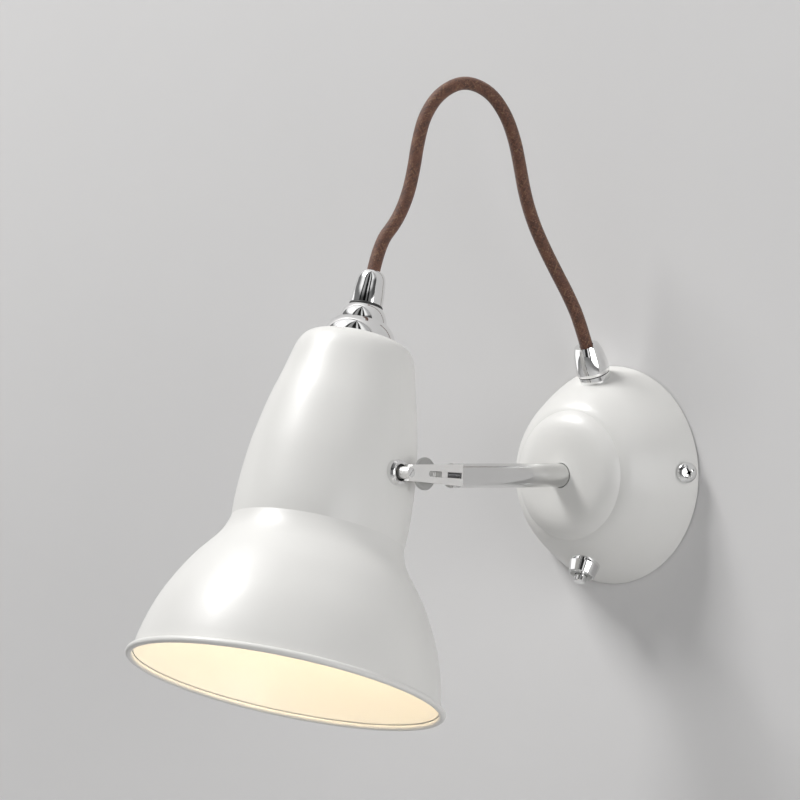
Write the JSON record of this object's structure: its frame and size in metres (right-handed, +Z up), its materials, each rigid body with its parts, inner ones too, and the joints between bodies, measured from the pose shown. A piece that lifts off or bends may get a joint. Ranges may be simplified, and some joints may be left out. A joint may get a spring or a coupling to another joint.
{
  "type": "wall lamp with tilting shade",
  "caption": "Wall lamp: a spun bell shade tilts on the slotted end of a short tube arm, with a domed wall cover, a push switch and a looped braided flex.",
  "frame": {"origin": "centre of the wall cover's rim, on the wall face", "axes": "+Y into the wall, -Y out into the room, +Z up, +X to the right for someone who faces the wall; millimetres in the source, metres here"},
  "size_m": [0.1833, 0.2696, 0.3243],
  "materials": {
    "zinc_steel": "zinc plated steel, dull",
    "steel_screws": "zinc plated",
    "arm_chrome": "polished chrome tube",
    "satin_nickel": "satin nickel plate",
    "wheel_nickel": "turned nickel plate",
    "spring_steel": "spring steel, dark",
    "bright_chrome": "polished chrome",
    "cover_enamel": "gloss off-white enamel",
    "shade_enamel": "gloss off-white enamel",
    "black_plastic": "matt black",
    "white_plastic": "moulded, semi-gloss",
    "brass_parts": "plain brass",
    "cap_metal": "bright rolled aluminium",
    "frosted_glass": "frosted",
    "braid": "woven brown braid"
  },
  "bodies": {
    "wall_part": {"wall_plate": "zinc_steel", "arm_stirrup": "zinc_steel", "stirrup_screws": "steel_screws", "arm_stud": "zinc_steel", "arm_washers": "zinc_steel", "arm_nut": "zinc_steel", "arm_tube": "arm_chrome", "arm_plug": "zinc_steel", "tilt_bracket": "satin_nickel", "wheel_shoe": "satin_nickel", "shoe_spring": "spring_steel", "wall_cover": "cover_enamel", "cover_screws": "bright_chrome", "terminal_block": "black_plastic", "terminal_screws": "brass_parts", "earth_screw": "brass_parts", "gland_base": "bright_chrome", "gland_nut": "zinc_steel", "gland_ring": "black_plastic", "gland_cap": "bright_chrome", "gland_insert": "black_plastic", "switch_collar": "bright_chrome", "switch_body": "black_plastic", "switch_nut": "zinc_steel", "switch_tags": "brass_parts", "pivot_barrel": "satin_nickel", "flex": "braid"},
    "shade_part": {"shade": "shade_enamel", "pivot_cup": "bright_chrome", "cup_washer": "black_plastic", "pivot_screw": "bright_chrome", "pivot_backing": "zinc_steel", "pivot_spring_washer": "spring_steel", "pivot_nut": "zinc_steel", "shade_cap": "bright_chrome", "cap_tier": "bright_chrome", "cap_ring": "black_plastic", "cap_grip": "bright_chrome", "cap_insert": "black_plastic", "cap_nipple": "zinc_steel", "nipple_nut": "zinc_steel", "holder_cap": "white_plastic", "holder_body": "white_plastic", "holder_contact": "brass_parts", "bulb_cap": "cap_metal", "bulb_globe": "frosted_glass"},
    "button": {"switch_button": "bright_chrome"},
    "wheel": {"tension_wheel": "wheel_nickel"},
    "pin": {"brake_pin": "zinc_steel"}
  },
  "joints": [
    {"name": "shade_tilt", "type": "hinge", "parent": "wall_part", "child": "shade_part", "pos_m": [0, -0.1616, 0.0017], "axis": [1, 0, 0], "range_deg": [-50, 40], "deforming": ["flex"]},
    {"name": "tension_turn", "type": "hinge", "parent": "wall_part", "child": "wheel", "pos_m": [0, -0.14686, 0.00103], "axis": [1, 0, 0], "range_deg": [0, 90]},
    {"name": "brake_press", "type": "slide", "parent": "wall_part", "child": "pin", "axis": [0, -0.999, 0.0454], "range_m": [0, 0.00025]},
    {"name": "switch_press", "type": "slide", "parent": "wall_part", "child": "button", "axis": [0, 0.454, 0.891], "range_m": [0, 0.0025], "stiffness_N_per_m": 300, "springref_m": -0.0005}
  ],
  "couplings": [
    {"joint": "brake_press", "follows": "tension_turn", "m_per_rad": 0.00015915}
  ]
}
